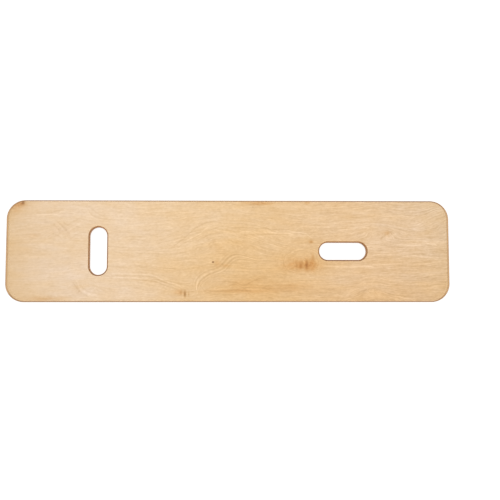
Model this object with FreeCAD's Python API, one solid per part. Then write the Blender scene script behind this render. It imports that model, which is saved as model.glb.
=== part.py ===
"""Wooden transfer board: a flat plywood bridge between two seats, with two hand slots.

It is built as thirteen veneer plies and the twelve glue films between them. The rounded outline,
hand slots, eased edges and thinned ends pass through every layer, so each ply and film carries
its own slice of those surfaces.

Frame, in millimetres: origin at the centre of the underside, +X along the length towards the end
with the lengthwise slot, +Y across the width, +Z up out of the sliding face.
"""

import FreeCAD
import Part
import math
import os

# Board outline
LENGTH = 889.0            # 35 in
WIDTH = 203.2             # 8 in
CORNER_R = 37.0           # plan radius of the four corners

# Layers
FACE_VENEER = 0.70        # each of the two outer veneers
INNER_VENEER = 1.40       # each veneer between them
GLUE_FILM = 0.10          # resin film between two veneers
PLY_COUNT = 13
THICKNESS = (
    2 * FACE_VENEER + (PLY_COUNT - 2) * INNER_VENEER + (PLY_COUNT - 1) * GLUE_FILM
)

# Round-over of the long edges and both hand slots, also the radius of the nose's lower arc
EDGE_R = 3.175            # 1/8 in
EDGE_TOP_Z = THICKNESS - EDGE_R        # where the upper round-over starts

# Hand slots, on the board's centreline
SLOT_LENGTH = 95.25       # wall to wall, 3 3/4 in
SLOT_WIDTH = 34.93        # wall to wall, 1 3/8 in
SLOTS = (                 # centre x, whether the slot runs along the board
    (-260.7, False),
    (229.5, True),
)

# Nose at each end: a roll-off above, an upright part, then an arc into the sloping underside
ROLL_HEIGHT = 4.5
ROLL_LENGTH = 9.0
ROLL_Z = THICKNESS - ROLL_HEIGHT       # where the roll-off starts
NOSE_LOW_Z = 10.5                      # lowest point of the upright part
TAPER_ANGLE = math.radians(12.5)       # slope of the thinned underside
# The nose arc meets the slope at this height, and this far in from the tip
TAPER_TOP_Z = NOSE_LOW_Z - EDGE_R * math.cos(TAPER_ANGLE)
TAPER_TOP_INSET = EDGE_R * (1.0 - math.sin(TAPER_ANGLE))

# Loft sections
ARC_STEPS = 10            # steps of 9 degrees in a quarter-round profile
MIN_SPACING = 0.012       # sections closer together than this are left out


# ---- Edge profiles ----

def quarter_inset(rise, height, length):
    """How far a quarter ellipse stands back at a given rise from its upright end."""
    ratio = rise / height
    # max() absorbs rounding where the rise reaches the full height
    return length * (1.0 - math.sqrt(max(0.0, 1.0 - ratio * ratio)))


def side_inset(z):
    """How far the long edges and slot walls stand back from their upright part at height z."""
    if z > EDGE_TOP_Z:
        return quarter_inset(z - EDGE_TOP_Z, EDGE_R, EDGE_R)
    if z < EDGE_R:
        return quarter_inset(EDGE_R - z, EDGE_R, EDGE_R)
    return 0.0


def end_inset(z):
    """How far each end stands back from its tip at height z."""
    if z > ROLL_Z:
        return quarter_inset(z - ROLL_Z, ROLL_HEIGHT, ROLL_LENGTH)
    if z >= NOSE_LOW_Z:
        return 0.0
    if z > TAPER_TOP_Z:
        return quarter_inset(NOSE_LOW_Z - z, EDGE_R, EDGE_R)
    return TAPER_TOP_INSET + (TAPER_TOP_Z - z) / math.tan(TAPER_ANGLE)


def profile_levels():
    """Heights at which a section is needed to follow every rounded profile."""
    levels = {0.0, EDGE_R, TAPER_TOP_Z, NOSE_LOW_Z, ROLL_Z, EDGE_TOP_Z, THICKNESS}
    for i in range(1, ARC_STEPS):
        sine = math.sin(math.radians(90.0 * i / ARC_STEPS))
        levels.add(EDGE_TOP_Z + EDGE_R * sine)
        levels.add(ROLL_Z + ROLL_HEIGHT * sine)
        levels.add(EDGE_R - EDGE_R * sine)
        nose_z = NOSE_LOW_Z - EDGE_R * sine
        if nose_z > TAPER_TOP_Z:
            levels.add(nose_z)
    return sorted(levels)


LEVELS = profile_levels()


def section_heights(low, high):
    """A layer's two faces and the profile levels between them."""
    between = []
    for z in LEVELS:
        inside = low + MIN_SPACING < z < high - MIN_SPACING
        if inside and (not between or z - between[-1] > MIN_SPACING):
            between.append(z)
    return [low] + between + [high]


# ---- Plan outlines ----

def line(start, end, z):
    return Part.makeLine(FreeCAD.Vector(*start, z), FreeCAD.Vector(*end, z))


def arc(centre, radius, start_deg, end_deg, z):
    def point(degrees):
        angle = math.radians(degrees)
        return FreeCAD.Vector(
            centre[0] + radius * math.cos(angle), centre[1] + radius * math.sin(angle), z
        )

    middle_deg = (start_deg + end_deg) / 2.0
    return Part.Arc(point(start_deg), point(middle_deg), point(end_deg)).toShape()


def board_outline(z):
    """Rounded rectangle, anticlockwise from the straight part of the +X end."""
    end_x = LENGTH / 2.0 - end_inset(z)
    side_y = WIDTH / 2.0 - side_inset(z)
    radius = CORNER_R - side_inset(z)
    x, y = end_x - radius, side_y - radius     # corner centres
    return Part.Wire([
        line((end_x, -y), (end_x, y), z),
        arc((x, y), radius, 0, 90, z),
        line((x, side_y), (-x, side_y), z),
        arc((-x, y), radius, 90, 180, z),
        line((-end_x, y), (-end_x, -y), z),
        arc((-x, -y), radius, 180, 270, z),
        line((-x, -side_y), (x, -side_y), z),
        arc((x, -y), radius, 270, 360, z),
    ])


def slot_outline(centre_x, lengthwise, z):
    """Two straight walls and two round ends, each end made of two quarter arcs."""
    radius = SLOT_WIDTH / 2.0 + side_inset(z)
    half = (SLOT_LENGTH - SLOT_WIDTH) / 2.0    # slot centre to the centre of a round end
    turn = 0 if lengthwise else 90

    def place(along, across):
        """Slot coordinates to board coordinates."""
        if lengthwise:
            return (centre_x + along, across)
        return (centre_x - across, along)

    def quarter(along, start_deg):
        start = start_deg + turn
        return arc(place(along, 0), radius, start, start + 90, z)

    return Part.Wire([
        line(place(-half, -radius), place(half, -radius), z),
        quarter(half, -90),
        quarter(half, 0),
        line(place(half, radius), place(-half, radius), z),
        quarter(-half, 90),
        quarter(-half, 180),
    ])


# ---- Layers ----

def make_layer(low, high):
    """The slice of the board between two heights, as one closed solid."""
    heights = section_heights(low, high)
    # Loft flags: solid, ruled
    body = Part.makeLoft([board_outline(z) for z in heights], True, True)
    for centre_x, lengthwise in SLOTS:
        outlines = [slot_outline(centre_x, lengthwise, z) for z in heights]
        body = body.cut(Part.makeLoft(outlines, True, True))
    solid = body.Solids[0]
    if len(body.Solids) != 1 or not solid.isValid() or solid.Volume <= 0:
        raise RuntimeError("layer %.2f to %.2f mm is not one valid solid" % (low, high))
    return solid


def ply_name(i):
    """Plies are numbered from the sliding face down."""
    if i == 1:
        kind = "face_veneer"
    elif i == PLY_COUNT:
        kind = "back_veneer"
    elif i == (PLY_COUNT + 1) // 2:
        kind = "centre_ply"
    else:
        kind = "crossband" if i % 2 == 0 else "longband"
    return "ply_%02d_%s" % (i, kind)


def layer_stack():
    """(name, lower height, upper height) of every layer, from the sliding face down."""
    stack = []
    top = THICKNESS
    for i in range(1, PLY_COUNT + 1):
        veneer = FACE_VENEER if i in (1, PLY_COUNT) else INNER_VENEER
        # The last ply ends exactly at zero, free of accumulated rounding
        low = 0.0 if i == PLY_COUNT else top - veneer
        stack.append((ply_name(i), low, top))
        if i < PLY_COUNT:
            top = low - GLUE_FILM
            stack.append(("glue_film_%02d_%02d" % (i, i + 1), top, low))
    return stack


os.makedirs("parts", exist_ok=True)
for name, low, high in layer_stack():
    make_layer(low, high).exportStep("parts/%s.step" % name)
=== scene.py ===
"""A plywood board with two hand slots, lying flat on a pale floor.

The length runs along x, the width along y, and the thickness up z from 0. Each veneer and each
glue film between them is a closed mesh of its own. Shapes and textures are in millimetres;
"above" and "below" on the face mean towards +y and -y, "left" and "right" -x and +x.
"""
import math

import bpy
import numpy as np
from mathutils import Matrix, Vector
from mathutils.geometry import delaunay_2d_cdt


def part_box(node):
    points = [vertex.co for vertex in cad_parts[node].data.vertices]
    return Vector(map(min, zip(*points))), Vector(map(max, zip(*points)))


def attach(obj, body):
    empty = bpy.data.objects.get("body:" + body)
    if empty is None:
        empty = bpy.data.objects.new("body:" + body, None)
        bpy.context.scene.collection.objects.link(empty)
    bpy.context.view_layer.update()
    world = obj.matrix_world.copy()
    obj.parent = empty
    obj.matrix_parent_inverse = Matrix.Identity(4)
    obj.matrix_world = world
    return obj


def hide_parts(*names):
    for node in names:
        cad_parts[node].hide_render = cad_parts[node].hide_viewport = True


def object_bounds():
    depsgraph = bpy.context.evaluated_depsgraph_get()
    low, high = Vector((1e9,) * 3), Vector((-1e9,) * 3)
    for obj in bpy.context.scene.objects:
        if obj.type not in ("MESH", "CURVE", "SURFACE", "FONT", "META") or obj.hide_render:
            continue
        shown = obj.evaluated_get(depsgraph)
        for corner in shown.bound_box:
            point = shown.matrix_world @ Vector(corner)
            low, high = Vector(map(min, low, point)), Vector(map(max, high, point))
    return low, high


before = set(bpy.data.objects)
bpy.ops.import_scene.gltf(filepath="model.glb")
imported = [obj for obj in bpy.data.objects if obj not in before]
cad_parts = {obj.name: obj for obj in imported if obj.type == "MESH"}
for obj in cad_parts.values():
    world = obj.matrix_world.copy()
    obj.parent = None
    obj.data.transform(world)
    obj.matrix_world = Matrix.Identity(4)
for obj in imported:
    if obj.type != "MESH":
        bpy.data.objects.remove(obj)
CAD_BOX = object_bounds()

MM = 0.001

# ---------------------------------------------------------------------------------------------
# Sizes of the board, in mm
# ---------------------------------------------------------------------------------------------
LENGTH = round((CAD_BOX[1].x - CAD_BOX[0].x) * 1000, 2)
WIDTH = round((CAD_BOX[1].y - CAD_BOX[0].y) * 1000, 2)
THICK = round((CAD_BOX[1].z - CAD_BOX[0].z) * 1000, 2)
CORNER_R = 37.0                                   # corners, seen from above
EDGE_R = 3.175                                    # round-over of the long edges and slots
SLOT_LENGTH, SLOT_WIDTH = 95.25, 34.93
SLOT_HALF_RUN = (SLOT_LENGTH - SLOT_WIDTH) / 2    # slot centre to the centre of its round end
SLOTS = ((-260.7, False), (229.5, True))          # centre x, runs lengthwise
NOSE_TOP_H, NOSE_TOP_L = 4.5, 9.0                 # roll-off at the top of each end
NOSE_LOW_Z = 10.5                                 # the upright part of the nose ends here
TAPER = math.radians(12.5)                        # slope of the underside at the ends
TAPER_RISE = NOSE_LOW_Z - EDGE_R * math.cos(TAPER)
TAPER_START = EDGE_R * (1.0 - math.sin(TAPER))
STEEP = 400.0                                     # limit for the slope of a profile

# Segments of the rings, and of the quarter rounds up the profiles
ARC_SEGS, LONG_SEGS, END_SEGS = 40, 112, 18
SLOT_ARC, SLOT_STRAIGHT = 56, 12
PROFILE_SEGS = 23
MIN_LEVEL_STEP = 0.008

# Grid of points in the flat of an outer veneer
GRID = 7.4
GRID_EDGE_GAP, GRID_SLOT_GAP = 3, 2.5

WALL, DOWN, UP = range(3)                         # kinds of mesh face


# ---------------------------------------------------------------------------------------------
# Profiles: (inset, the outward normal's z over its horizontal part) at height z
# ---------------------------------------------------------------------------------------------
def round_over(share, across, up):
    """A quarter ellipse; share is 0 at its upright part and 1 at its flat part."""
    share = min(1.0, max(0.0, share))
    root = math.sqrt(max(0.0, 1.0 - share * share))
    return across * (1.0 - root), min(STEEP, across / up * share / max(root, 1e-9))


def side(z):
    """Profile of the long edges and the slot walls."""
    if z > THICK - EDGE_R:
        return round_over((z - (THICK - EDGE_R)) / EDGE_R, EDGE_R, EDGE_R)
    if z < EDGE_R:
        inset, slope = round_over((EDGE_R - z) / EDGE_R, EDGE_R, EDGE_R)
        return inset, -slope
    return 0.0, 0.0


def nose(z):
    """Profile of the two ends: roll-off above, round nose, sloping underside."""
    if z > THICK - NOSE_TOP_H:
        return round_over((z - (THICK - NOSE_TOP_H)) / NOSE_TOP_H, NOSE_TOP_L, NOSE_TOP_H)
    if z >= NOSE_LOW_Z:
        return 0.0, 0.0
    if z > TAPER_RISE:
        inset, slope = round_over((NOSE_LOW_Z - z) / EDGE_R, EDGE_R, EDGE_R)
        return inset, -slope
    return TAPER_START + (TAPER_RISE - z) / math.tan(TAPER), -1.0 / math.tan(TAPER)


def levels(z_low, z_high):
    """Heights of the rings between two flat faces, close together where a profile is round."""
    marks = {EDGE_R, TAPER_RISE, NOSE_LOW_Z, THICK - NOSE_TOP_H, THICK - EDGE_R}
    for i in range(1, PROFILE_SEGS):
        rise = math.sin(math.radians(90.0 * i / PROFILE_SEGS))
        marks.add(THICK - EDGE_R + EDGE_R * rise)
        marks.add(THICK - NOSE_TOP_H + NOSE_TOP_H * rise)
        marks.add(EDGE_R - EDGE_R * rise)
        if NOSE_LOW_Z - EDGE_R * rise > TAPER_RISE:
            marks.add(NOSE_LOW_Z - EDGE_R * rise)
    heights = [z_low]
    for z in sorted(marks):
        if heights[-1] + MIN_LEVEL_STEP < z < z_high - MIN_LEVEL_STEP:
            heights.append(z)
    return heights + [z_high]


# ---------------------------------------------------------------------------------------------
# Rings of (x, y, normal x, normal y, normal z), anticlockwise
# ---------------------------------------------------------------------------------------------
def straight(x, y, run_x, run_y, steps, facing):
    """(x, y, facing x, facing y) along a line, without its last point."""
    return [(x + run_x * i / steps, y + run_y * i / steps, *facing) for i in range(steps)]


def arc(x, y, radius, start, sweep, steps):
    """The same along an arc; its angles are in degrees."""
    points = []
    for i in range(steps):
        angle = math.radians(start + sweep * i / steps)
        cos, sin = math.cos(angle), math.sin(angle)
        points.append((x + radius * cos, y + radius * sin, cos, sin))
    return points


def outline(z):
    """Ring round the board at height z, from the right-hand end."""
    side_in, side_slope = side(z)
    nose_in, nose_slope = nose(z)
    radius = CORNER_R - side_in
    half_x, half_y = LENGTH / 2 - nose_in - radius, WIDTH / 2 - CORNER_R
    points = (
        straight(half_x + radius, -half_y, 0, 2 * half_y, END_SEGS, (1, 0))
        + arc(half_x, half_y, radius, 0, 90.0, ARC_SEGS)
        + straight(half_x, half_y + radius, -2 * half_x, 0, LONG_SEGS, (0, 1))
        + arc(-half_x, half_y, radius, 90, 90.0, ARC_SEGS)
        + straight(-half_x - radius, half_y, 0, -2 * half_y, END_SEGS, (-1, 0))
        + arc(-half_x, -half_y, radius, 180, 90.0, ARC_SEGS)
        + straight(-half_x, -half_y - radius, 2 * half_x, 0, LONG_SEGS, (0, -1))
        + arc(half_x, -half_y, radius, 270, 90.0, ARC_SEGS))
    ring = []
    for x, y, cos, sin in points:
        slope = abs(cos) * nose_slope + (1.0 - abs(cos)) * side_slope
        ring.append((x, y, *Vector((cos, sin, slope)).normalized()))
    return ring


def slot_ring(centre, lengthwise, z):
    """Ring round a hand slot. Normals point into the slot, away from the wood."""
    inset, slope = side(z)
    radius, half = SLOT_WIDTH / 2 + inset, SLOT_HALF_RUN
    if lengthwise:
        points = (
            arc(centre + half, 0, radius, -90, 180.0, SLOT_ARC)
            + straight(centre + half, radius, -2 * half, 0, SLOT_STRAIGHT, (0, 1))
            + arc(centre - half, 0, radius, 90, 180.0, SLOT_ARC)
            + straight(centre - half, -radius, 2 * half, 0, SLOT_STRAIGHT, (0, -1)))
    else:
        points = (
            arc(centre, half, radius, 0, 180.0, SLOT_ARC)
            + straight(centre - radius, half, 0, -2 * half, SLOT_STRAIGHT, (-1, 0))
            + arc(centre, -half, radius, 180, 180.0, SLOT_ARC)
            + straight(centre + radius, -half, 0, 2 * half, SLOT_STRAIGHT, (1, 0)))
    return [(x, y, *Vector((-cos, -sin, slope)).normalized()) for x, y, cos, sin in points]


# ---------------------------------------------------------------------------------------------
# Flat faces
# ---------------------------------------------------------------------------------------------
def inside_slot(x, y, grow):
    """Whether a point lies within a slot's round-over, made wider by grow."""
    for centre, lengthwise in SLOTS:
        along, across = (x - centre, y) if lengthwise else (y, x - centre)
        along = max(0.0, abs(along) - SLOT_HALF_RUN)
        if math.hypot(along, across) < SLOT_WIDTH / 2 + EDGE_R + grow:
            return True
    return False


def grid_points(ring):
    """Grid points inside the outer ring and clear of the slots, and which of them have x = 0."""
    half_x = max(p[0] for p in ring)
    half_y = max(p[1] for p in ring)
    columns, rows = 2 * int(half_x / GRID), 2 * int(half_y / GRID)
    corner_reach = CORNER_R - EDGE_R - GRID_EDGE_GAP
    points, middle = [], []
    for i in range(columns + 1):
        x = -half_x + 2 * half_x * i / columns
        for j in range(1, rows):
            y = -half_y + 2 * half_y * j / rows
            over_x = abs(x) - (half_x - CORNER_R + EDGE_R)
            over_y = abs(y) - (half_y - CORNER_R + EDGE_R)
            if abs(x) > half_x - GRID_EDGE_GAP or abs(y) > half_y - GRID_EDGE_GAP:
                continue
            if over_x > 0 and over_y > 0 and math.hypot(over_x, over_y) > corner_reach:
                continue
            if inside_slot(x, y, GRID_SLOT_GAP):
                continue
            if i == columns // 2:
                middle.append(len(points))
            points.append((x, y))
    return points, middle


def fill(rings, with_grid):
    """Triangles that fill the outer ring less the slots: ring points first, then grid points."""
    points, edges, owner = [], [], []
    for number, ring in enumerate(rings):
        start, count = len(points), len(ring)
        points += [(p[0], p[1]) for p in ring]
        edges += [(start + i, start + (i + 1) % count) for i in range(count)]
        owner += [number] * count
    outer = rings[0]
    if with_grid:
        extra, middle = grid_points(outer)
        # the column at x = 0 is kept as edges, because the bake layout is cut there
        low = min(range(len(outer)), key=lambda k: (abs(outer[k][0]) > 1e-6, outer[k][1]))
        high = min(range(len(outer)), key=lambda k: (abs(outer[k][0]) > 1e-6, -outer[k][1]))
        column = [low] + [len(points) + i for i in middle] + [high]
        edges += list(zip(column, column[1:]))
        points += extra
        owner += [-1] * len(extra)
    _, _, polygons, origin, _, _ = delaunay_2d_cdt([Vector(p) for p in points], edges, [], 0, 1e-6)
    if not all(origin):
        raise RuntimeError("the fill made a point of its own")
    here = np.array([(p[0], p[1]) for p in outer])
    after = np.roll(here, -1, axis=0)
    triangles = []
    for polygon in polygons:
        for i in range(1, len(polygon) - 1):
            ids = [origin[v][0] for v in (polygon[0], polygon[i], polygon[i + 1])]
            owners = {owner[k] for k in ids}
            if len(owners) == 1 and max(owners) > 0:
                continue                          # inside a slot
            if owners == {0}:                     # perhaps outside the outer ring
                mid = sum((Vector(points[k]) for k in ids), Vector((0, 0))) / 3
                cross = ((here[:, 0] - mid.x) * (after[:, 1] - mid.y)
                         - (here[:, 1] - mid.y) * (after[:, 0] - mid.x))
                if cross.min() < -1e-9:
                    continue
            (x0, y0), (x1, y1), (x2, y2) = (points[k] for k in ids)
            turn = (x1 - x0) * (y2 - y0) - (y1 - y0) * (x2 - x0)
            if abs(turn) < 1e-9:
                continue
            triangles.append(ids if turn > 0 else [ids[0], ids[2], ids[1]])
    return points, triangles


# ---------------------------------------------------------------------------------------------
# Bake layouts
# ---------------------------------------------------------------------------------------------
HIDDEN_SCALE = 0.12                               # hidden flats are laid out small


def veneer_layout(mesh, verts, kinds, seen):
    """An outer veneer's seen side and walls, lying flat as two halves one over the other."""
    uv = np.zeros((len(mesh.loops), 2))
    length, width = LENGTH * MM, WIDTH * MM
    gap = 2.2 * MM
    size = length / 2 + 2 * gap
    hidden_height = 0.027
    for face, kind in zip(mesh.polygons, kinds):
        right = sum(verts[v][0] for v in face.vertices) > 0
        for loop, vertex in zip(face.loop_indices, face.vertices):
            x, y, _ = verts[vertex]
            if kind in (WALL, seen):
                across = gap + (x if right else x + length / 2)
                up = gap + (y + width / 2) + (width + 1.5 * gap if right else 0)
            else:
                across = gap + (x + length / 2) * HIDDEN_SCALE
                up = size - gap - hidden_height + (y + width / 2) * HIDDEN_SCALE
            uv[loop] = (across / size, up / size)
    return uv


def core_layout(mesh, verts, kinds, walls, stacks, ring_starts, heights):
    """A core layer's walls as rows of strip, with its flats small above them."""
    target_rows, spare_rows = 20, 1.6
    least_start, ring_gap = 20, 1.5               # mm of strip
    strip_top = 0.965                             # share of the map's height
    uv = np.zeros((len(mesh.loops), 2))
    middle = len(heights) // 2
    steps = []
    for stack in stacks:
        ring = stack[middle]
        ahead = ring[1:] + ring[:1]
        steps.append([math.dist(p[:2], q[:2]) for p, q in zip(ring, ahead)])
    limit = sum(sum(step) for step in steps) / (target_rows - spare_rows)
    places, row, at = {}, 0, 0.0
    for number, step in enumerate(steps):
        if at > 0 and at + least_start > limit:
            row, at = row + 1, 0.0
        for i, run in enumerate(step):
            if at + run > limit:
                row, at = row + 1, 0.0
            places[number, i] = (row, at, at + run)
            at += run
        at += ring_gap
    # height up the strip follows the slope at the ends, where the layers are widest
    climb = [0.0]
    for low, high in zip(heights, heights[1:]):
        climb.append(climb[-1] + math.hypot(high - low, nose(low)[0] - nose(high)[0]))
    climb = [part / climb[-1] for part in climb]
    band = strip_top / (row + 1)
    for face, (number, column) in zip(mesh.polygons, walls):
        row, start, end = places[number, column]
        for loop, vertex in zip(face.loop_indices, face.vertices):
            level, at_column = divmod(vertex - ring_starts[number][0], len(stacks[number][0]))
            along = start if at_column == column else end
            uv[loop] = (0.004 + 0.992 * along / limit, band * (row + 0.08 + 0.84 * climb[level]))
    for face, kind in zip(mesh.polygons, kinds):
        if kind == WALL:
            continue
        left = 0.02 if kind == DOWN else 0.2
        for loop, vertex in zip(face.loop_indices, face.vertices):
            x, y, _ = verts[vertex]
            uv[loop] = (left + (x + LENGTH * MM / 2) * HIDDEN_SCALE,
                        0.972 + (y + WIDTH * MM / 2) * HIDDEN_SCALE)
    return uv


def ply_mesh(name, z_low, z_high, seen):
    """One layer as a closed mesh with exact normals. seen is the outer side, or None in the core."""
    heights = levels(z_low, z_high)
    stacks = [[outline(z) for z in heights]]
    stacks += [[slot_ring(*slot, z) for z in heights] for slot in SLOTS]
    verts, normals, faces, kinds, walls = [], [], [], [], []
    ring_starts = []                              # [ring][level]: first vertex of that ring
    for stack in stacks:
        ring_starts.append([])
        for z, ring in zip(heights, stack):
            ring_starts[-1].append(len(verts))
            verts += [(p[0] * MM, p[1] * MM, z * MM) for p in ring]
            normals += [p[2:] for p in ring]
    for number, stack in enumerate(stacks):
        count = len(stack[0])
        for low, high in zip(ring_starts[number], ring_starts[number][1:]):
            for i in range(count):
                j = (i + 1) % count
                quad = (low + i, low + j, high + j, high + i)
                faces.append(quad if number == 0 else quad[::-1])
                kinds.append(WALL)
                walls.append((number, i))
    for kind, level in ((DOWN, 0), (UP, len(heights) - 1)):
        points, triangles = fill([stack[level] for stack in stacks], kind == seen)
        index = []
        for starts, stack in zip(ring_starts, stacks):
            index += [starts[level] + i for i in range(len(stack[level]))]
        for x, y in points[len(index):]:
            index.append(len(verts))
            verts.append((x * MM, y * MM, heights[level] * MM))
        for triangle in triangles:
            corners = tuple(index[i] for i in triangle)
            faces.append(corners if kind == UP else corners[::-1])
            kinds.append(kind)
    mesh = bpy.data.meshes.new(name)
    mesh.from_pydata(verts, [], faces)
    if mesh.validate():
        raise RuntimeError(name + ": the mesh had to be repaired")
    mesh.polygons.foreach_set("use_smooth", [True] * len(faces))
    flat = {DOWN: (0, 0, -1), UP: (0, 0, 1)}
    mesh.normals_split_custom_set([
        normals[v] if kind == WALL else flat[kind]
        for face, kind in zip(mesh.polygons, kinds) for v in face.vertices])
    layer = mesh.uv_layers.new(name="OFBake")
    if seen is None:
        uv = core_layout(mesh, verts, kinds, walls, stacks, ring_starts, heights)
    else:
        uv = veneer_layout(mesh, verts, kinds, seen)
    layer.data.foreach_set("uv", uv.astype(np.float32).ravel())
    mesh.update()
    return mesh


# ---------------------------------------------------------------------------------------------
# Shader arithmetic
# ---------------------------------------------------------------------------------------------
class Value:
    """An output in a node tree that takes ordinary arithmetic, written to the right of it."""

    def __init__(self, graph, socket):
        self.graph, self.socket = graph, socket

    def __add__(self, other): return self.graph.math("ADD", self, other)
    def __sub__(self, other): return self.graph.math("SUBTRACT", self, other)
    def __rsub__(self, other): return self.graph.math("SUBTRACT", other, self)
    def __mul__(self, other): return self.graph.math("MULTIPLY", self, other)
    def __truediv__(self, other): return self.graph.math("DIVIDE", self, other)


class Graph:
    """A node tree with short ways to add nodes to it."""

    def __init__(self, tree):
        self.tree = tree

    def put(self, socket, value):
        if isinstance(value, Value):
            self.tree.links.new(value.socket, socket)
        else:
            socket.default_value = value

    def node(self, kind, inputs=None, **settings):
        """A node; inputs maps socket names or numbers to values."""
        node = self.tree.nodes.new(kind)
        for key, setting in settings.items():
            setattr(node, key, setting)
        for key, value in (inputs or {}).items():
            self.put(node.inputs[key], value)
        return node

    def value(self, kind, inputs=None, output=0, **settings):
        """The same, giving one output of the node."""
        return Value(self, self.node(kind, inputs, **settings).outputs[output])

    def math(self, operation, *values):
        return self.value("ShaderNodeMath", dict(enumerate(values)), operation=operation)

    def exp(self, value): return self.math("EXPONENT", value)
    def abs(self, value): return self.math("ABSOLUTE", value)
    def floor(self, value): return self.math("FLOOR", value)
    def max(self, one, other): return self.math("MAXIMUM", one, other)
    def min(self, one, other): return self.math("MINIMUM", one, other)
    def hypot(self, one, other): return self.math("SQRT", one * one + other * other)

    def vec(self, x, y, z):
        return self.value("ShaderNodeCombineXYZ", {0: x, 1: y, 2: z})

    def split(self, vector):
        node = self.node("ShaderNodeSeparateXYZ", {0: vector})
        return [Value(self, output) for output in node.outputs]

    def place(self):
        """x, y, z in mm."""
        coords = self.value("ShaderNodeTexCoord", output="Object")
        return self.split(self.value(
            "ShaderNodeVectorMath", {0: coords, "Scale": 1000.0}, operation="SCALE"))

    def normal(self):
        return self.split(self.value("ShaderNodeNewGeometry", output="Normal"))

    # Textures: each coordinate is divided by the size, in mm, of the figure along it.
    def noise(self, x, y, z, detail=2.0, rough=0.5):
        """Noise from 0 to 1."""
        return self.value("ShaderNodeTexNoise", {
            "Vector": self.vec(x, y, z), "Scale": 1.0, "Detail": detail, "Roughness": rough})

    def swing(self, *place, **settings):
        """Noise centred on 0."""
        return self.noise(*place, **settings) - 0.5

    def cells(self, x, y, z):
        """Distance to the nearest of scattered points."""
        return self.value(
            "ShaderNodeTexVoronoi", {"Vector": self.vec(x, y, z), "Scale": 1.0}, "Distance")

    def white(self, x, y, z):
        return self.value("ShaderNodeTexWhiteNoise", {"Vector": self.vec(x, y, z)}, "Value")

    def ramp(self, value, low, high, to_low=0.0, to_high=1.0, smooth=True):
        """value carried from low..high to to_low..to_high."""
        return self.value(
            "ShaderNodeMapRange", dict(enumerate((value, low, high, to_low, to_high))),
            interpolation_type="SMOOTHSTEP" if smooth else "LINEAR")

    def mix(self, share, one, other):
        """Colour one with a share of the other mixed in."""
        one, other = (c if isinstance(c, Value) else (*c, 1.0) for c in (one, other))
        return self.value("ShaderNodeMix", {0: share, 6: one, 7: other}, 2, data_type="RGBA")

    def rgb(self, red, green, blue):
        return self.value("ShaderNodeCombineColor", {0: red, 1: green, 2: blue})

    def course(self, along, points):
        """The height, at along, of a curve through (along, height) points."""
        heights = [p[1] for p in points]
        start, end = points[0][0], points[-1][0]
        low, high = min(heights), max(heights) + 1e-6
        share = (along - start) / (end - start)
        node = self.node("ShaderNodeFloatCurve")
        node.mapping.extend = "HORIZONTAL"
        curve = node.mapping.curves[0]
        spots = [((a - start) / (end - start), (b - low) / (high - low)) for a, b in points]
        curve.points[0].location, curve.points[-1].location = spots[0], spots[-1]
        for spot in spots[1:-1]:
            curve.points.new(*spot)
        node.mapping.update()
        self.put(node.inputs["Value"], share)
        return Value(self, node.outputs[0]) * (high - low) + low

    def hump(self, squared):
        """exp(-squared)"""
        return self.math("POWER", math.exp(-1.0), squared)

    def ridge(self, offset, half_width):
        """A smooth ridge of height 1 where offset is 0."""
        share = offset / half_width
        return self.hump(share * share)

    def bell(self, x, y, at_x, at_y, half_x, half_y, turn=0.0):
        """A smooth hill of height 1 at (at_x, at_y), turned by degrees."""
        if turn:
            cos, sin = math.cos(math.radians(turn)), math.sin(math.radians(turn))
            x, y = x * cos + y * sin, y * cos - x * sin
            at_x, at_y = at_x * cos + at_y * sin, at_y * cos - at_x * sin
        along = self.math("MULTIPLY_ADD", x, 1.0 / half_x, -at_x / half_x)
        across = self.math("MULTIPLY_ADD", y, 1.0 / half_y, -at_y / half_y)
        return self.hump(self.math("MULTIPLY_ADD", along, along, across * across))

    def after(self, done, *values):
        """The values as good as unchanged, but worked out after done, so that few wait at a time."""
        if not isinstance(done, Value):
            return values
        return [self.math("MULTIPLY_ADD", done, 1e-7, value) for value in values]


def blank_tree(owner):
    owner.use_nodes = True
    owner.node_tree.nodes.clear()
    return Graph(owner.node_tree)


def new_material(name):
    """A material with a Principled shader."""
    material = bpy.data.materials.new(name)
    graph = blank_tree(material)
    shader = graph.node("ShaderNodeBsdfPrincipled")
    graph.node("ShaderNodeOutputMaterial", {0: Value(graph, shader.outputs[0])})
    return material, graph, shader


def finish(graph, shader, colour, rough, coat=0.22, coat_rough=0.34, specular=0.32):
    """Colour and roughness under a coat of lacquer."""
    for key, value in {
            "Base Color": colour, "Roughness": rough, "IOR": 1.48, "Specular IOR Level": specular,
            "Coat Weight": coat, "Coat Roughness": coat_rough, "Coat IOR": 1.48}.items():
        graph.put(shader.inputs[key], value)


def add_bump(graph, shader, height, strength, distance):
    graph.put(shader.inputs["Normal"], graph.value(
        "ShaderNodeBump", {"Strength": strength, "Distance": distance, "Height": height}))


# ---------------------------------------------------------------------------------------------
# Rotary-cut birch, with the grain along x. The lines of equal growth height (psi) are the grain
# lines, pushed aside and closed into loops where a knot comes through.
# ---------------------------------------------------------------------------------------------
SLOW_SWAY = 28.0                                  # mm the widest waves push the grain aside
PSI_BASE_Z = 18.0                                 # height at which depth doesn't shift the grain
LINES_PER_GROUP = 18


def near_slot(graph, x, y):
    """1 on and beside the walls of the hand slots, 0 elsewhere."""
    near = 0.0
    for centre, lengthwise in SLOTS:
        along, across = (x - centre, y) if lengthwise else (y, x - centre)
        over = graph.max(graph.abs(along) - SLOT_HALF_RUN, 0.0)
        reach = graph.hypot(over, across)
        near = graph.ramp(reach, SLOT_WIDTH / 2 + 8.0, SLOT_WIDTH / 2 + 5.0) + near
    return near


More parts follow.
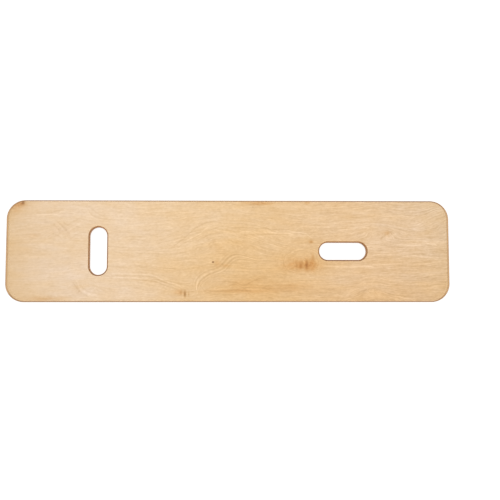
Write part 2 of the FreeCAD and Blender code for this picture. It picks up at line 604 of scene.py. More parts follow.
def growth_height(graph, x, y, z, waves, swells, partings):
    slow, mid, quick = waves
    psi = y + slow * SLOW_SWAY + mid * 12.0 + quick * 2.4
    for at_x, at_y, half_x, half_y, high, turn in swells:
        psi = psi - graph.bell(x, y, at_x, at_y, half_x, half_y, turn) * high
    for at_x, at_y, half_x, half_y, push in partings:
        hill = graph.bell(x, y, at_x, at_y, half_x, half_y)
        psi = psi - hill * ((y - at_y) / half_y) * push
    return psi + (z - PSI_BASE_Z) * 1.6


def grain_lines(graph, seed, along, across, more):
    """Fine sharp lines over soft wider ones; more picks another cut of the same wood."""
    soft = graph.swing(along / 80, across / 4.6, seed + 17.0 + more, rough=0.6)
    fine = graph.swing(along / 26, across / 2.1, seed + 23.0 + more, rough=0.6)
    hair = graph.swing(along / 70, across / 1.75, seed + 53.0 + more, rough=0.6)
    edge = graph.abs(graph.swing(along / 90, across / 6.5, seed + 71.0 + more, detail=1.0))
    return soft * 0.10 + fine * 0.33 + hair * 0.50 - graph.ramp(edge, 0.036, 0.0) * 0.060


def add_islands(graph, seed, x, y, grain, wander, islands):
    """Closed rings round a knot or a bump in the log, faded into the run of the grain."""
    for at_x, at_y, stretch, inner, outer, pitch in islands:
        near_x, near_y = graph.after(grain, x, y)
        along = (near_x - at_x) / stretch
        # rings are closer together below their heart
        up = graph.max(near_y - at_y, (at_y - near_y) * 1.5)
        radius = graph.hypot(along, up)
        share = graph.ramp(radius, outer, inner)
        rings = grain_lines(graph, seed, near_x, (radius + wander) * pitch, at_x * 0.01)
        grain = grain + share * (rings - grain)
    return grain


def add_flames(graph, seed, x, y, grain, quick, flames):
    """Runs of lines that break away from the grain, each drawn in a turned frame (u, w)."""
    glow = 0.0
    for turn, points, reach, marks in flames:
        cos, sin = math.cos(math.radians(turn)), math.sin(math.radians(turn))
        near_x, near_y = graph.after(grain, x, y)
        u, w = near_x * cos + near_y * sin, near_y * cos - near_x * sin
        path = [(a * cos + b * sin, b * cos - a * sin) for a, b in points]
        start, end = path[0][0], path[-1][0]
        offset = (w - graph.course(u, path)) * 0.86 + quick * 1.8
        window = graph.ramp(u, start, start + 9.0) * graph.ramp(u, end, end - 30.0)
        share = graph.ridge(offset, reach) * window
        grain = grain + share * (grain_lines(graph, seed, u, offset, 5.0) - grain)
        for at, half_width, strength in marks:
            glow = graph.ridge(offset - at, half_width) * window * strength + glow
    return grain, glow


def add_strokes(graph, name, strokes, x, y, quick, glow):
    """Single growth lines, light or dark along their own courses, in a node group."""
    tree = bpy.data.node_groups.new(name, "ShaderNodeTree")
    for label in ("x", "y", "quick", "before"):
        tree.interface.new_socket(label, in_out="INPUT", socket_type="NodeSocketFloat")
    tree.interface.new_socket("glow", in_out="OUTPUT", socket_type="NodeSocketFloat")
    inner = Graph(tree)
    entry = inner.node("NodeGroupInput")
    inner_x, inner_y, inner_quick, total = (Value(inner, s) for s in entry.outputs[:4])
    for points, half_width, strength in strokes:
        near_x, near_y = inner.after(total, inner_x, inner_y)
        line = inner.ridge(near_y - inner.course(near_x, points) + inner_quick * 1.2, half_width)
        start, end = points[0][0], points[-1][0]
        fade = inner.ramp(near_x, start, start + 12.0) * inner.ramp(near_x, end, end - 12.0)
        total = line * fade * strength + total
    inner.node("NodeGroupOutput", {0: total})
    return graph.value(
        "ShaderNodeGroup", dict(enumerate((x, y, quick, glow))), node_tree=tree)


def add_smudges(graph, seed, x, y, psi, fine, smudges):
    """Brown clouds in the figure, and an orange stain with fibre drawn out in it."""
    orange = 0.0
    for at_x, at_y, half_x, half_y, brown, stain, fibre_x, fibre_y in smudges:
        done = orange if stain else fine
        near_x, near_y = graph.after(done, x, y)
        if fibre_x:
            across, = graph.after(done, psi)
        patch = graph.bell(near_x, near_y, at_x, at_y, half_x, half_y)
        if fibre_x:
            fibre = graph.noise(
                near_x / fibre_x, across / fibre_y, seed + 61.0, detail=3.0, rough=0.65)
            patch = patch * graph.ramp(fibre, 0.30, 0.70, to_low=0.55, to_high=1.25)
        if brown:
            fine = fine - patch * brown
        if stain:
            orange = patch * stain + orange
    return fine, orange


def toned(graph, x, y, tone, fine, coarse, orange):
    """The wood's colour: its tone over the board, moved by the figure and the stain."""
    X, Y = x / (LENGTH / 2), y / (WIDTH / 2)
    X2 = X * X
    # what fine and coarse figure and stain do to red, green and blue
    swings = ((0.80, 0.26, 0.36), (1.0, 1.0, 1.0), (1.42, 3.0, 2.1))
    channels = []
    for c, (sharp, wide, burn) in zip(tone, swings):
        base = (X * c[1] + X2 * c[2] + X * X2 * c[3] + X2 * X2 * c[4]
                + Y * c[5] + X * Y * c[6] + c[0])
        channels.append(base * graph.exp(fine * sharp + coarse * wide - orange * burn))
    return graph.rgb(*channels)


def add_wear_and_shade(graph, x, y, z, normal, colour):
    """Darker rounded wood, part burnish and part painted shade: most on the routed round-overs,
    hardly at all on the ends.
    """
    nx, ny, nz = normal
    in_slot = near_slot(graph, x, y)
    # painted shade with some burnish: darker the further a round-over tilts from straight up
    tilt = graph.max(graph.ramp(graph.abs(nz), 0.992, 0.885),
                     in_slot * graph.ramp(graph.abs(nz), 0.996, 0.940))
    routed = graph.max(in_slot, graph.ramp(graph.abs(nx), 0.34, 0.06) * tilt)
    edge_grain = graph.noise(x / 4, y / 4, z / 0.5)
    # painted shade: edges that face +y and the slots get a larger share of the dark rim colour
    shade_facing_plus_y = graph.ramp(ny, 0.05, 0.30) * routed     # edges that face +y
    wear_and_shade = (tilt * (edge_grain * 0.30 + 0.85)
            * (routed * 0.66 + in_slot * 0.14 + shade_facing_plus_y * 0.22 + 0.10))
    # painted shade: slot rims are a darker brown except where they face -y, and edges that face +y
    # darker still
    slot_rim = graph.mix(graph.ramp(ny, -0.30, -0.03), (0.37, 0.150, 0.036), (0.28, 0.112, 0.024))
    rim = graph.mix(in_slot, (0.34, 0.165, 0.062), slot_rim)
    rim = graph.mix(shade_facing_plus_y, rim, graph.mix(in_slot, (0.23, 0.115, 0.045), (0.21, 0.085, 0.022)))
    return graph.mix(graph.min(wear_and_shade, 1.0), colour, rim), tilt


def birch_face(name, seed, swells, partings, islands, flames, strokes, knots, smudges, tone):
    """Lacquered outer veneer. The tables it takes are described where the face is made."""
    material, graph, shader = new_material(name)
    x, y, z = graph.place()
    normal = graph.normal()
    slow = graph.swing(x / 210, y / 75, seed)
    mid = graph.swing(x / 60, y / 21, seed + 3.1)
    quick = graph.swing(x / 17, y / 6.0, seed + 6.7, detail=1.0)
    psi = growth_height(graph, x, y, z, (slow, mid, quick), swells, partings)

    grain = grain_lines(graph, seed, x, psi, 0.0)
    grain = add_islands(graph, seed, x, y, grain, mid * 10.0 + quick * 5.0, islands)
    grain, glow = add_flames(graph, seed, x, y, grain, quick, flames)
    for first in range(0, len(strokes), LINES_PER_GROUP):
        glow = add_strokes(graph, "%s_lines_%d" % (name, first),
                           strokes[first:first + LINES_PER_GROUP], x, y, quick, glow)
    xl, yl, psi = graph.after(grain, x, y, psi)

    cloud = graph.swing(xl / 150, yl / 62, seed + 9.0, rough=0.6)
    broad = graph.swing(xl / 330, psi / 13.0, seed + 11.0, rough=0.55)
    fibre = graph.swing(xl / 8.0, psi / 1.05, seed + 29.0, rough=0.65)
    mottle = graph.swing(xl / 30, yl / 15, seed + 31.0, rough=0.55)
    # latewood: thin lines, darker on one side of each growth line
    late = graph.noise(xl / 190, psi / 6.2, seed + 37.0, detail=1.0) * 5.0
    late = late - graph.floor(late)
    late = graph.ramp(late, 0.62, 0.97) * graph.ramp(late, 1.0, 0.97)
    # vessels: short fine dark dashes along the fibre
    dash = graph.cells(xl / 3.4, psi / 0.42, seed + 41.0)
    vessel = graph.ramp(dash, 0.30, 0.10) * graph.ramp(
        graph.noise(xl / 40, psi / 7, seed + 43.0, detail=1.0), 0.42, 0.6)
    # short feathery ripples and fine cloudiness between the growth lines of a rotary cut
    ripple = graph.swing(xl / 13, psi / 3.4, seed + 33.0, rough=0.55)
    fleck = graph.swing(xl / 5.5, yl / 3.6, seed + 35.0, detail=1.0)

    # the strength of each figure; all are weaker towards the left end
    fine = (grain + ripple * 0.22 - late * 0.045) * graph.ramp(
        xl, -440.0, 440.0, to_low=0.42, to_high=1.16, smooth=False)
    calm = graph.ramp(xl, -440.0, -120.0, to_low=0.60, smooth=False)
    fine = fine + (fleck * 0.26 + fibre * 0.22) * calm + glow - vessel * 0.055
    coarse = broad * 0.07 + mottle * 0.09 + cloud * 0.20
    fine, orange = add_smudges(graph, seed, x, y, psi, fine, smudges)
    colour = toned(graph, x, y, tone, fine, coarse, orange)

    for at_x, at_y, half_x, half_y, dark in knots:
        wobble = graph.swing(x / 1.6, y / 1.6, seed + 51.0) * 0.7 + 1.0
        heart = graph.ramp(graph.bell(x, y, at_x, at_y, half_x, half_y) * wobble, 0.22, 0.72)
        colour = graph.mix(heart * dark, colour, (0.235, 0.095, 0.018))
    colour, tilt = add_wear_and_shade(graph, x, y, z, normal, colour)

    rough = graph.ramp(broad + fibre * 0.8, -0.35, 0.35, to_low=0.46, to_high=0.36, smooth=False)
    finish(graph, shader, colour, rough + vessel * 0.10 + tilt * 0.06)
    relief = graph.noise(
        x / 10, (y + slow * SLOW_SWAY) / 0.8, seed + 29.0, detail=3.0, rough=0.62)
    add_bump(graph, shader, relief, strength=0.35, distance=0.00006)
    return material


# ---------------------------------------------------------------------------------------------
# Core veneers and glue
# ---------------------------------------------------------------------------------------------
PLY_PITCH = 1.5


def birch_edge(name, seed, grain_x, light, dark):
    """Edges of a core veneer: light long grain, dark end grain where they cut the fibres."""
    material, graph, shader = new_material(name)
    x, y, z = graph.place()
    nx, ny, nz = graph.normal()
    along, across = (x, y) if grain_x else (y, x)
    facing = nx if grain_x else ny
    sheet = graph.floor((z + 0.05) / PLY_PITCH)   # counted up from the bottom
    tint = graph.white(sheet, seed, 0.5) - 0.5
    shift = tint * 900.0                          # each sheet has its own part of the textures
    wave = graph.swing(along / 30 + shift, across / 14, z / 4) * 0.5
    fibres = graph.swing(
        along / 13 + shift, across / 0.55, (z + wave) / 0.20, detail=3.0, rough=0.6)
    cloud = graph.swing(along / 46 + shift, across / 12, z / 3)
    ends = graph.ramp(graph.abs(facing), 0.25, 0.85)   # 1 where the cut is across the fibres
    pores = graph.cells(along / 6 + shift, across / 0.34, z / 0.26)
    pores = graph.ramp(pores, 0.34, 0.12) * ends
    rays = graph.swing(along / 5 + shift, across / 1.9, z / 0.16)
    lathe_checks = graph.ramp(graph.noise(
        along / 3 + shift, across / 0.8, z / 1.5, detail=1.0), 0.70, 0.80) * ends
    figure = (fibres * 0.30 + cloud * 0.20 + tint * 0.14 + rays * 0.20 * ends
              - pores * 0.34 - lathe_checks * 0.25)
    channels = []
    for low, high, swing in zip(dark, light, (0.70, 1.0, 1.55)):
        base = ends * (low - high) + high
        channels.append(graph.max(base * (figure * swing + 1.0), 0.006))
    colour = graph.rgb(*channels)
    # faint cutter burnish, then darker wood on the round-overs and in the slots: part burnish, part
    # painted shade
    burnt = graph.ramp(graph.noise(x / 60, y / 60, z / 6 + seed), 0.55, 0.80)
    colour = graph.mix(burnt * 0.28, colour, (0.20, 0.085, 0.035))
    in_slot = near_slot(graph, x, y)
    rounded = graph.ramp(graph.abs(nz), 0.15, 0.62) * graph.max(
        in_slot, graph.ramp(graph.abs(x), LENGTH / 2 - 4.0, LENGTH / 2 - 14.0))
    colour = graph.mix(rounded * 0.46, colour, (0.32, 0.150, 0.055))
    # painted shade: the slot walls darker as a whole
    colour = graph.mix(in_slot * (rounded * 0.20 + 0.46), colour, (0.40, 0.165, 0.040))
    finish(graph, shader, colour, ends * 0.14 + pores * 0.1 + fibres * 0.10 + 0.42,
           coat=0.03, coat_rough=0.45, specular=0.08)
    add_bump(graph, shader, fibres * 0.5 - pores * 0.9 - lathe_checks,
             strength=0.45, distance=0.00008)
    return material


def resin_film(name):
    """Dark, blotched and speckled glue."""
    material, graph, shader = new_material(name)
    x, y, z = graph.place()
    run = graph.noise(x / 9, y / 9, z / 1.4, detail=3.0, rough=0.6)
    speck = graph.noise(x / 0.7, y / 0.7, z / 0.3, detail=1.0)
    colour = graph.mix(graph.ramp(run, 0.36, 0.68), (0.085, 0.036, 0.017), (0.200, 0.098, 0.045))
    colour = graph.mix(graph.ramp(speck, 0.58, 0.72) * 0.5, colour, (0.30, 0.17, 0.085))
    finish(graph, shader, colour, rough=0.40, coat=0.2, coat_rough=0.4)
    return material


# ---------------------------------------------------------------------------------------------
# The figure of the top face
# ---------------------------------------------------------------------------------------------
# Red, green and blue: gain, then the factors of 1, x, x2, x3, x4, y, xy, with x and y from -1 to 1
FACE_TONE = tuple(tuple(factor * gain for factor in factors) for gain, factors in (
    (0.866, (0.811, -0.040, 0.058, 0.048, -0.124, 0.011, 0.017)),
    (0.842, (0.546, -0.092, 0.163, 0.101, -0.196, 0.017, 0.029)),
    (0.797, (0.285, -0.130, 0.329, 0.142, -0.329, 0.019, 0.039)),
))

# The course of a line that breaks away from the grain: x, y
FLAME_COURSE = (
    (-60.5, -90), (-62.5, -81), (-64, -70), (-60.5, -59.6), (-50, -49), (-35.5, -41.7),
    (-23, -37.3), (-12, -31), (-5, -23.6), (4, -14.7), (14.6, -10.1), (32.6, -11.9),
    (54, -17.3), (83, -18), (105, -28),
)
# Lines beside it: offset, half-width, strength (light above 0, dark below)
FLAME_MARKS = (
    (0.3, 1.5, 0.115), (-3.2, 1.4, -0.155), (3.8, 1.3, -0.100), (8.6, 1.2, -0.060),
    (-7.6, 1.2, -0.095), (-5.6, 1.0, 0.060), (6.2, 1.0, 0.060),
)

# Single growth lines that stand out: course as (x, y) points, half-width, strength
FACE_STROKES = (
    # long waves below the middle
    (((-47, -79), (-37, -79.5), (-12, -80.3), (17, -78.5), (40, -79.5), (54, -81)), 1.4, -0.168),
    (((-40, -75.5), (-10, -76), (20, -74), (50, -76), (70, -75)), 1.3, 0.095),
    (((-13, -60), (-1, -61.4), (15, -63.2), (30.6, -68), (40, -64.2), (54, -57.8), (67, -54.2),
      (86, -53)), 1.3, -0.147),
    (((4, -64), (15, -67), (33, -76), (42, -86), (52, -92)), 1.1, -0.116),
    (((-62, -62), (-56.6, -68.3), (-48, -79.1), (-33, -85.6), (-7, -87.8), (6, -88)), 1.3, -0.10),
    (((58, -79), (68, -75), (81, -68.7), (112, -68.3), (128, -70)), 1.3, -0.11),
    (((60, -72), (70.4, -73.7), (87.7, -79.1), (112, -81.3), (130, -81)), 1.3, -0.11),
    # lines that rise into the swell above the middle
    (((-118, 6), (-107, 12), (-93, 22.6), (-84.6, 29.1), (-74, 40), (-54.5, 52.9), (-43.7, 57.3),
      (-28.6, 58.3), (-12, 58)), 1.4, -0.115),
    (((-126, 12), (-97.6, 16.1), (-84, 20.5), (-70, 28.7), (-57, 36), (-44, 46), (-33, 50)),
     1.5, 0.105),
    (((-108, 1), (-95, 12), (-70, 26), (-40, 41), (-12, 50)), 1.2, -0.065),
    # waves that run on from it
    (((-40, 44), (-24.3, 42.1), (-7.1, 38.9), (14.4, 35.6), (31.7, 38.9), (53.2, 37.8),
      (85.5, 37.8), (118, 35.8), (136, 37.6), (150, 36.4), (163.4, 28.7), (176, 22)), 1.4, 0.105),
    (((-6, 45), (6.9, 46.4), (31.7, 46.9), (53.2, 46.2), (74.7, 46), (87.7, 43.2),
      (112.4, 43.4), (126, 43.4)), 1.2, -0.115),
    (((24, 31), (38, 33), (53.2, 33.2), (74.7, 33.5), (112.4, 33.5), (128, 32)), 1.1, -0.10),
    (((28, 26), (40.3, 27.6), (53.2, 28), (66.1, 29.8), (112.4, 30.6), (124, 30)), 1.2, 0.06),
    # short dark ones above the pin knot
    (((-32, 2.4), (-20, 3.2), (-9, 2.2), (2, 3.0)), 1.0, -0.137),
    (((-30, -1.2), (-18, -0.8), (-7, -1.6), (4, -1.0)), 1.0, -0.137),
    (((-28, -5.2), (-16, -4.8), (-6, -5.6), (4, -5.0)), 1.0, -0.126),
    # a sheaf that runs down into the dark stain near the -y edge
    (((-240, -45), (-201, -45.6), (-156, -47.5), (-137.2, -54.7), (-125.1, -60.8),
      (-105, -66.8), (-90, -76)), 1.4, 0.10),
    (((-236, -48.8), (-201, -49.4), (-156, -51.2), (-138, -58.5), (-118, -65), (-99, -72),
      (-86, -80)), 1.4, -0.12),
    (((-236, -53.4), (-190, -53.7), (-153, -56.7), (-135, -62.8), (-105, -69.6), (-92, -78)),
     1.3, 0.09),
    (((-226, -57.2), (-190, -57.4), (-151, -60.4), (-128, -68), (-104, -76), (-92, -81)),
     1.2, -0.09),
    # feathered curls near the left end
    (((-374, 57), (-361.6, 56.4), (-351.6, 54.4), (-343.6, 46.3), (-335.5, 36.2), (-330, 29)),
     2.6, -0.085),
    (((-352, 61), (-343.6, 56), (-336, 48), (-328, 38.5), (-322, 32)), 2.2, 0.075),
    (((-352, 62), (-343.6, 58.4), (-335.5, 52.4), (-327.5, 44.3), (-320.4, 37.2), (-313, 32)),
     2.8, -0.105),
    (((-330, 36), (-321.4, 40.3), (-309.4, 48.3), (-297.3, 54.4), (-288, 57)), 2.6, 0.075),
    (((-337, 61), (-329.5, 56.4), (-321.4, 52.4), (-317.4, 55.4), (-305.4, 61.5), (-292, 66)),
     2.0, -0.085),
    (((-322, 22), (-313.4, 26.1), (-305.4, 32.2), (-293.3, 36.2), (-280, 37.5)), 1.5, -0.110),
    (((-356, 36), (-345.6, 32.2), (-337.5, 28.1), (-328, 22)), 1.7, -0.085),
    (((-388, 71), (-373.7, 72.6), (-345.6, 73.6), (-335, 78), (-322, 80)), 1.6, 0.080),
    (((-388, 76), (-375.7, 75.6), (-353.6, 77.2), (-337.5, 81.5), (-325, 83)), 1.4, -0.085),
    (((-292, 96), (-281.3, 82.7), (-275.3, 72.6), (-261.2, 66.6), (-240, 64)), 2.4, -0.085),
    (((-288, 93), (-277.3, 86.7), (-267.2, 78.6), (-253.2, 70.6), (-236, 68)), 2.0, -0.070),
    (((-290, 86), (-279.3, 75), (-270, 66), (-256, 62), (-240, 60.5)), 2.2, 0.075),
    (((-312, -50), (-301.4, -60.8), (-295.3, -74.9), (-281.3, -84), (-269.2, -87.1),
      (-256, -86)), 2.8, 0.085),
    (((-318, -54), (-309.4, -62.8), (-303.4, -70.9), (-297.3, -78.9), (-281.3, -89.1),
      (-270, -93)), 2.4, -0.090),
    (((-301, -62), (-295.3, -68.9), (-289.3, -74.9), (-275.3, -82), (-262, -84)), 2.0, -0.080),
    (((-436, -66), (-426, -67.8), (-400, -68.5), (-367.6, -70.9), (-350, -72)), 2.4, 0.050),
    (((-360, -43), (-345.6, -44.6), (-320, -47), (-293.3, -50.6), (-280, -55)), 2.0, 0.045),
    # round the lengthwise slot and on to the right end
    (((214, 40), (226, 42.5), (240, 44.5), (255, 46.5), (271, 47.5), (288, 46.5)), 1.5, 0.14),
    (((190, 43), (198.8, 39.6), (206.7, 35.6), (214.6, 30.6), (222, 26)), 1.5, -0.11),
    (((301, 21), (310, 27.7), (316, 31.5), (326, 38.6), (336, 40)), 2.2, -0.115),
    (((308, 15), (318, 22), (326, 28), (334, 34), (346, 39)), 2.4, 0.075),
    (((178, -31), (205, -30), (240, -31), (264, -30.5), (296, -33)), 2.0, 0.116),
    (((176, -35.5), (210, -34.5), (255, -36), (296, -37)), 1.0, -0.074),
    (((330, 12.5), (343.6, 12.8), (373.2, 11.8), (392.9, 13.8), (408.6, 15.8), (420.4, 9.9),
      (432, 8)), 1.4, 0.13),
    (((300, -4), (314, -6), (343.6, -9), (373.2, -9), (392.9, -9.9), (408.6, -12.9),
      (422.4, -18.9), (434, -21)), 1.3, 0.10),
    (((346, -16), (372, -14), (405, -17.5), (440, -19)), 1.1, -0.070),
    (((270, -33), (278.6, -31.7), (294.4, -29.7), (327.9, -25.8), (353.5, -25.4),
      (377.1, -26.2), (392.9, -25.8), (408.6, -22.8), (422.4, -19.8), (436, -18)), 1.3, 0.13),
    (((284, -27), (294.4, -29), (333.8, -29.2), (373.2, -30), (396.8, -30), (422.4, -32.5),
      (440, -33)), 1.2, -0.11),
    (((362, -4), (375, -4), (396, -4), (422, -6), (436, -8)), 1.0, -0.08),
    (((260, -90), (268.8, -83.2), (274.7, -77.3), (290.5, -75.3), (306, -78)), 1.6, -0.095),
    (((254, -70), (262.9, -66), (272, -61), (281, -60), (292, -62)), 1.7, 0.075),
    (((270, -92), (276, -87), (283, -80.5), (292, -80.5), (300, -85), (308, -92)), 1.5, 0.085),
)

# Stained wood: x, y, half-lengths, brown, orange, fibre size along and across (0 for none)
FACE_SMUDGES = (
    (145, -28, 34, 12.0, 0.01, 0.34, 9, 5), (136.2, -28.0, 2.4, 11.0, 0.17, 0.03, 0, 0),
    (144.4, -30.0, 3.0, 5.2, 0.30, 0.20, 0, 0), (156.2, -28.6, 3.0, 8.8, 0.38, 0.28, 0, 0),
    (151.2, -23.0, 1.7, 5.0, -0.16, 0.00, 0, 0), (166.0, -28.0, 7.5, 11.5, 0.02, 0.28, 3.0, 7),
    (168.5, -12.5, 3.0, 8.0, 0.07, 0.15, 0, 0), (165.4, 18.6, 4.2, 2.8, 0.14, 0.30, 0, 0),
    (158, -51, 5.5, 5.5, -0.07, 0.00, 0, 0), (141, -53.5, 7, 2.2, -0.06, 0.00, 0, 0),
    (154, -12, 8, 5.5, -0.05, 0.00, 0, 0), (-87.2, -86.0, 2.3, 5.4, 0.72, 0.20, 0, 0),
    (-95.5, -83.0, 3.0, 4.5, 0.18, 0.12, 0, 0), (-98, -82.0, 12, 6.0, 0.00, 0.20, 5, 4.0),
    (-79.6, -86.0, 1.6, 4.5, 0.20, 0.08, 0, 0), (-38.6, -18.9, 3.2, 7.5, -0.09, 0.00, 0, 0),
    (-23.0, -24.5, 5.5, 7.0, 0.00, 0.12, 0, 0), (-6.0, -29.0, 9.0, 3.4, 0.06, 0.14, 0, 0),
    (-411.6, 97.5, 3.0, 4.6, 0.80, 0.30, 0, 0), (-421, 93.5, 13, 5.6, 0.14, 0.55, 7, 4.0),
    (-430, 84, 15, 14.0, 0.02, 0.12, 7, 4.0), (62, 96, 24, 3.6, 0.05, 0.36, 12, 2.0),
    (158, 97, 6, 3.0, 0.05, 0.22, 8, 2.0), (319, 37, 7, 5.0, 0.04, 0.16, 6, 3.0),
    (-362, -95, 34, 5.0, 0.03, 0.16, 20, 3.0), (-333, 42, 22, 10.0, 0.02, 0.06, 9, 3.0),
    (-392, 30, 14, 5.0, 0.03, 0.10, 9, 3.0), (-300, -76, 9, 12.0, 0.06, 0.05, 5, 4.0),
    (30, -80, 70, 4.0, 0.00, 0.12, 40, 2.0), (-18, 8, 15, 15.0, -0.06, 0.04, 0, 0),
    (30, -70, 60, 16.0, 0.00, 0.10, 40, 9.0), (120, -72, 46, 10.0, 0.00, 0.12, 30, 6.0),
)

face = birch_face(
    "birch_face_lacquered", seed=2.3,
    # growth lines swell up over hidden branch wood: x, y, half-lengths, height, turn
    swells=(
        (-12, 38, 88, 46, 29, 0), (-84, -72, 42, 24, -15, 0), (-337, 40, 30, 15, 15, 25),
        (-282, -74, 30, 12, 12, 0), (306, 38, 34, 12, 16, 0), (290, -80, 34, 10, 12, 0),
        (445, 72, 45, 28, 22, 0),
    ),
    # and part round the ones that surface: x, y, half-lengths, push
    partings=((-31, -22, 14, 9, 4.0), (-87, -84, 14, 12, 7.0), (49, 89, 16, 8, 4.0)),
    # closed rings: x, y, length over height, full inside, gone outside, pitch
    islands=(
        (146, -24, 1.20, 26, 54, 0.80), (103, -38, 1.20, 3, 10, 1.3),
        (-42, -80, 1.50, 4, 13, 1.2), (-280, -72, 1.25, 8, 22, 1.0),
        (-331, 42, 1.60, 7, 20, 1.0), (287, -80, 1.60, 4, 12, 1.2),
    ),
    # turn of the frame in degrees, course, how far it holds to each side, lines
    flames=((43.0, FLAME_COURSE, 13.0, FLAME_MARKS),),
    strokes=FACE_STROKES,
    # pin knots: x, y, half-lengths, darkness
    knots=((-31.4, -22.0, 2.7, 1.75, 0.95), (48.5, 88.8, 1.2, 1.0, 0.5)),
    smudges=FACE_SMUDGES,
    tone=FACE_TONE,
)
back = birch_face(
    "birch_back_lacquered", seed=71.9,
    swells=(
        (-180, 20, 120, 26, 46, 0), (120, -30, 90, 20, 34, 8),
        (330, 46, 60, 18, 24, 0), (-350, -52, 50, 16, 20, 0),
    ),
    partings=((212, 8, 26, 15, 8.0), (-64, -58, 20, 12, 6.0)),
    islands=((-150, 34, 2.6, 20, 48, 1.0), (96, -40, 2.0, 10, 36, 1.1)),
    flames=(),
    strokes=(
        (((-260, -30), (-200, -18), (-130, -24), (-60, -34), (0, -30)), 1.5, -0.050),
        (((140, 52), (200, 40), (262, 46), (330, 70)), 1.4, -0.050),
    ),
    knots=((-64.0, -58.0, 2.6, 2.0, 0.8), (315.0, 62.0, 1.4, 1.1, 0.8)),
    smudges=(
        (8, 30, 34, 9.0, 0.10, 0.22, 14, 3.0), (-330, 70, 20, 6.0, 0.05, 0.20, 10, 3.0),
        (212, 8, 16, 8.0, 0.16, 0.22, 5, 5.0),
    ),
    tone=(
        (0.76, 0.02, -0.02, 0.0, 0.0, -0.01, 0.01),
        (0.515, 0.02, 0.01, 0.0, 0.0, -0.012, 0.01),
        (0.285, 0.02, 0.03, 0.0, 0.0, -0.014, 0.02),
    ),
)
long_ply = birch_edge("birch_longband_edge", seed=5.0, grain_x=True,
                      light=(0.60, 0.370, 0.184), dark=(0.42, 0.218, 0.099))
cross_ply = birch_edge("birch_crossband_edge", seed=9.0, grain_x=False,
                       light=(0.58, 0.350, 0.170), dark=(0.40, 0.204, 0.092))
film = resin_film("resin_glue_line")

# ---------------------------------------------------------------------------------------------
# The layers
# ---------------------------------------------------------------------------------------------
# Part of the node's name, material, slot; the last fits every other veneer
VENEER_LOOKS = (
    ("face_veneer", face, "face_veneer"),
    ("back_veneer", back, "face_veneer"),
    ("crossband", cross_ply, "crossband_veneer"),
    ("", long_ply, "longband_veneer"),
)


def add_object(name, mesh):
    thing = bpy.data.objects.new(name, mesh)
    bpy.context.scene.collection.objects.link(thing)
    return thing


def add_layer(node):
    low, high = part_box(node)
    if node.startswith("glue_film"):
        name, material, slot = node.replace("glue_film", "resin_film"), film, "glue_line"
    else:
        name = "birch_" + node
        material, slot = next(look for part, *look in VENEER_LOOKS if part in node)
    seen = UP if "face_veneer" in node else DOWN if "back_veneer" in node else None
    mesh = ply_mesh(name, round(low.z * 1000, 2), round(high.z * 1000, 2), seen)
    mesh.materials.append(material)
    piece = add_object(name, mesh)
    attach(piece, "root")
    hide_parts(node)


for node in sorted(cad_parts):
    add_layer(node)


# ---------------------------------------------------------------------------------------------
# Pale floor, soft light
# ---------------------------------------------------------------------------------------------
def pale_floor():
    """Plain white seen from above; seen from the side it keeps a soft contact shadow."""
    material = bpy.data.materials.new("pale_floor")
    graph = blank_tree(material)
    camera_ray = graph.value("ShaderNodeLightPath", output="Is Camera Ray")
    spot = graph.node("ShaderNodeNewGeometry")
    x, y, _ = graph.split(Value(graph, spot.outputs["Position"]))
    steep = graph.split(Value(graph, spot.outputs["Incoming"]))[2]
    side_on = graph.ramp(steep, 0.85, 0.55) * camera_ray
    away = graph.ramp(graph.hypot(x, y), 0.4, 2.0)
    shade = side_on * 0.55 + 0.25
    matte = graph.value("ShaderNodeBsdfDiffuse", {"Color": graph.rgb(shade, shade, shade)})
    glow = graph.value("ShaderNodeEmission", {
        "Color": (1, 1, 1, 1), "Strength": side_on * (away * 0.14 - 0.54) + 0.86})
    both = graph.value("ShaderNodeAddShader", {0: matte, 1: glow})
    graph.node("ShaderNodeOutputMaterial", {0: both})
    return material


def add_floor():
    reach, z = 14.0, -0.0003
    mesh = bpy.data.meshes.new("floor")
    corners = [(-reach, -reach, z), (reach, -reach, z), (reach, reach, z), (-reach, reach, z)]
    mesh.from_pydata(corners, [], [(0, 1, 2, 3)])
    add_object("floor", mesh)
    mesh.materials.append(pale_floor())


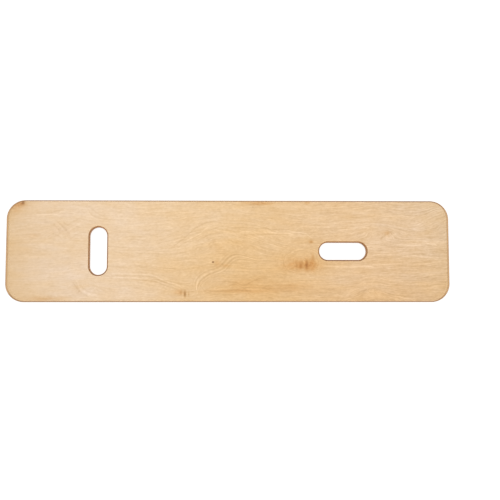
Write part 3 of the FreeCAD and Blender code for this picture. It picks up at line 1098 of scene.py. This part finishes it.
def add_world():
    """A faintly cool room that the camera sees as white."""
    world = bpy.data.worlds.new("studio")
    bpy.context.scene.world = world
    graph = blank_tree(world)
    room = graph.value("ShaderNodeBackground", {"Color": (0.97, 0.985, 1.0, 1), "Strength": 0.72})
    seen = graph.value("ShaderNodeBackground", {"Color": (1, 1, 1, 1), "Strength": 1.0})
    camera_ray = graph.value("ShaderNodeLightPath", output="Is Camera Ray")
    either = graph.value("ShaderNodeMixShader", {0: camera_ray, 1: room, 2: seen})
    graph.node("ShaderNodeOutputWorld", {0: either})


def softbox(name, place, size, power):
    """An area light aimed at the origin; place and size in metres, power in watts."""
    light = bpy.data.lights.new(name, "AREA")
    light.shape, light.energy = "RECTANGLE", power
    light.size, light.size_y = size
    lamp = add_object(name, light)
    lamp.location = place
    lamp.rotation_euler = (-Vector(place)).to_track_quat("-Z", "Y").to_euler()


add_floor()
add_world()
softbox("key_softbox", place=(-0.8, 0.9, 2.4), size=(1.6, 1.6), power=24.0)
softbox("fill_softbox", place=(1.2, -1.0, 2.2), size=(1.8, 1.4), power=18.0)

# ---------------------------------------------------------------------------------------------
# Camera: nearly straight down from 2 m, shifted so that the board sits above mid-frame
# ---------------------------------------------------------------------------------------------
CAMERA_PLACE = (-20.734, -96.613, 2009.028)       # mm
CAMERA_TURN = (-5.95212, 1.54161, -0.07118)       # world to camera: axis times degrees

camera = bpy.data.cameras.new("camera")
camera.sensor_fit, camera.sensor_width = "HORIZONTAL", 36.0
camera.lens = 71.5212
camera.shift_x, camera.shift_y = 0.00971, -0.10805
camera.clip_start, camera.clip_end = 0.05, 100.0
camera_object = add_object("camera", camera)
bpy.context.scene.camera = camera_object
turn = Vector(CAMERA_TURN)
to_camera = Matrix.Rotation(math.radians(turn.length), 3, turn.normalized())
camera_object.matrix_world = (
    Matrix.Translation(Vector(CAMERA_PLACE) * MM) @ to_camera.transposed().to_4x4())

bpy.context.scene.view_settings.view_transform = "Standard"
bpy.context.scene.view_settings.look = "None"
